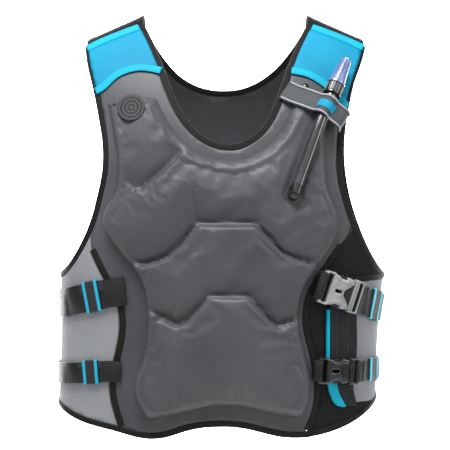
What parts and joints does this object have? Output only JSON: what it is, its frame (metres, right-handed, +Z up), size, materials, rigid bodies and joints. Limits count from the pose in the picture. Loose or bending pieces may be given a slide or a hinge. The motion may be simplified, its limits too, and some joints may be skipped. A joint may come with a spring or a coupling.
{
  "type": "buoyancy compensator vest",
  "caption": "Inflatable swimmer's buoyancy vest with oral inflator, side-release buckles, webbing straps and a side closure.",
  "frame": {"origin": "middle of the worn torso at the level of the hem's lowest point", "axes": "+Z up, +X towards the wearer's left, -Y the chest side"},
  "size_m": [0.4692, 0.2768, 0.5968],
  "materials": {
    "coated_fabric": "black and grey coated nylon",
    "bladder_fabric": "dark grey coated nylon with a soft sheen",
    "light_fabric": "light grey nylon",
    "loop_fabric": "black loop pile and webbing",
    "flap_fabric": "dark grey stitched nylon",
    "blue_fabric": "bright blue nylon",
    "blue_edging": "bright blue edging",
    "binding_tape": "black woven tape",
    "webbing": "black woven webbing",
    "elastic": "black elastic with pale blue edges",
    "band_fabric": "grey nylon",
    "piping": "light grey piping",
    "badge_rubber": "soft moulded patch",
    "grey_plastic": "moulded acetal",
    "dark_plastic": "moulded acetal",
    "black_plastic": "moulded acetal",
    "cap_plastic": "tinted translucent silicone",
    "hose_rubber": "smooth glossy hose",
    "spring_steel": "spring wire"
  },
  "bodies": {
    "vest": {"front_panel": "coated_fabric", "back_panel": "coated_fabric", "right_side_panel": "light_fabric", "closure_panel": "loop_fabric", "neck_binding_front": "binding_tape", "neck_binding_back": "binding_tape", "armhole_binding_right": "binding_tape", "armhole_binding_left": "binding_tape", "hem_binding": "binding_tape", "front_edge_binding": "binding_tape", "shoulder_yoke_right": "blue_fabric", "shoulder_yoke_left": "blue_fabric", "shoulder_strap_right": "loop_fabric", "shoulder_strap_left": "loop_fabric", "air_bladder": "bladder_fabric", "closure_flap": "flap_fabric", "flap_edging": "blue_edging", "upper_strap_right": "webbing", "lower_strap_right": "webbing", "upper_strap_rear": "webbing", "lower_strap_rear": "webbing", "upper_anchor": "webbing", "lower_anchor": "webbing", "upper_socket": "grey_plastic", "lower_socket": "dark_plastic", "inflator_hose": "hose_rubber", "port_elbow": "black_plastic", "valve_housing": "black_plastic", "valve_spring": "spring_steel", "tube_band": "band_fabric", "band_piping_top": "piping", "band_piping_bottom": "piping", "chest_badge": "badge_rubber", "band_snap": "black_plastic"},
    "upper_plug": {"upper_plug": "black_plastic", "upper_strap_front": "webbing"},
    "upper_arm_top": {"upper_latch_arm_top": "black_plastic"},
    "upper_arm_bottom": {"upper_latch_arm_bottom": "black_plastic"},
    "lower_plug": {"lower_plug": "black_plastic", "lower_strap_front": "webbing"},
    "lower_arm_top": {"lower_latch_arm_top": "black_plastic"},
    "lower_arm_bottom": {"lower_latch_arm_bottom": "black_plastic"},
    "upper_keeper_left": {"upper_keeper_left": "elastic"},
    "lower_keeper_left": {"lower_keeper_left": "elastic"},
    "upper_keeper_right": {"upper_keeper_right": "elastic"},
    "lower_keeper_right": {"lower_keeper_right": "elastic"},
    "lock_ring": {"lock_ring": "black_plastic"},
    "mouthpiece": {"mouthpiece": "grey_plastic", "valve_stem": "grey_plastic"},
    "dust_cap": {"dust_cap": "cap_plastic"}
  },
  "joints": [
    {"name": "upper_plug_release", "type": "slide", "parent": "vest", "child": "upper_plug", "axis": [0.8667, 0.3969, -0.3023], "range_m": [0, 0.03]},
    {"name": "upper_arm_top_flex", "type": "hinge", "parent": "upper_plug", "child": "upper_arm_top", "pos_m": [0.18047, -0.10144, 0.21669], "axis": [0.3897, -0.9168, -0.0866], "range_deg": [0, 14.05]},
    {"name": "upper_arm_bottom_flex", "type": "hinge", "parent": "upper_plug", "child": "upper_arm_bottom", "pos_m": [0.16888, -0.10303, 0.18138], "axis": [-0.3897, 0.9168, 0.0866], "range_deg": [0, 14.05]},
    {"name": "lower_plug_release", "type": "slide", "parent": "vest", "child": "lower_plug", "axis": [0.917, 0.3961, -0.0461], "range_m": [0, 0.03]},
    {"name": "lower_arm_top_flex", "type": "hinge", "parent": "lower_plug", "child": "lower_arm_top", "pos_m": [0.17361, -0.0952, 0.10843], "axis": [0.3934, -0.9175, -0.0584], "range_deg": [0, 14.05]},
    {"name": "lower_arm_bottom_flex", "type": "hinge", "parent": "lower_plug", "child": "lower_arm_bottom", "pos_m": [0.17184, -0.09423, 0.0813], "axis": [-0.3934, 0.9175, 0.0584], "range_deg": [0, 14.05]},
    {"name": "upper_keeper_left_slide", "type": "slide", "parent": "upper_plug", "child": "upper_keeper_left", "axis": [0.5166, 0.829, -0.2143], "range_m": [-0.006, 0.006]},
    {"name": "lower_keeper_left_slide", "type": "slide", "parent": "lower_plug", "child": "lower_keeper_left", "axis": [0.5174, 0.8554, -0.0244], "range_m": [-0.006, 0.006]},
    {"name": "upper_keeper_right_slide", "type": "slide", "parent": "vest", "child": "upper_keeper_right", "axis": [-0.8517, 0.489, -0.1884], "range_m": [-0.006, 0.006]},
    {"name": "lower_keeper_right_slide", "type": "slide", "parent": "vest", "child": "lower_keeper_right", "axis": [-0.878, 0.4716, -0.0822], "range_m": [-0.006, 0.006]},
    {"name": "lock_ring_turn", "type": "hinge", "parent": "vest", "child": "lock_ring", "pos_m": [0.14897, -0.10841, 0.48357], "axis": [0.3731, 0.3773, 0.8476], "range_deg": [0, 90]},
    {"name": "mouthpiece_push", "type": "slide", "parent": "vest", "child": "mouthpiece", "axis": [-0.3731, -0.3773, -0.8476], "range_m": [0, 0.004], "stiffness_N_per_m": 900, "springref_m": -0.002, "deforming": ["valve_spring"]},
    {"name": "dust_cap_pull", "type": "slide", "parent": "vest", "child": "dust_cap", "axis": [0.3731, 0.3773, 0.8476], "range_m": [0, 0.045]}
  ],
  "couplings": [
    {"joint": "upper_arm_top_flex", "follows": "upper_plug_release", "rad_per_m": 8.1449},
    {"joint": "upper_arm_bottom_flex", "follows": "upper_plug_release", "rad_per_m": 8.1449},
    {"joint": "lower_arm_top_flex", "follows": "lower_plug_release", "rad_per_m": 8.1449},
    {"joint": "lower_arm_bottom_flex", "follows": "lower_plug_release", "rad_per_m": 8.1449}
  ]
}
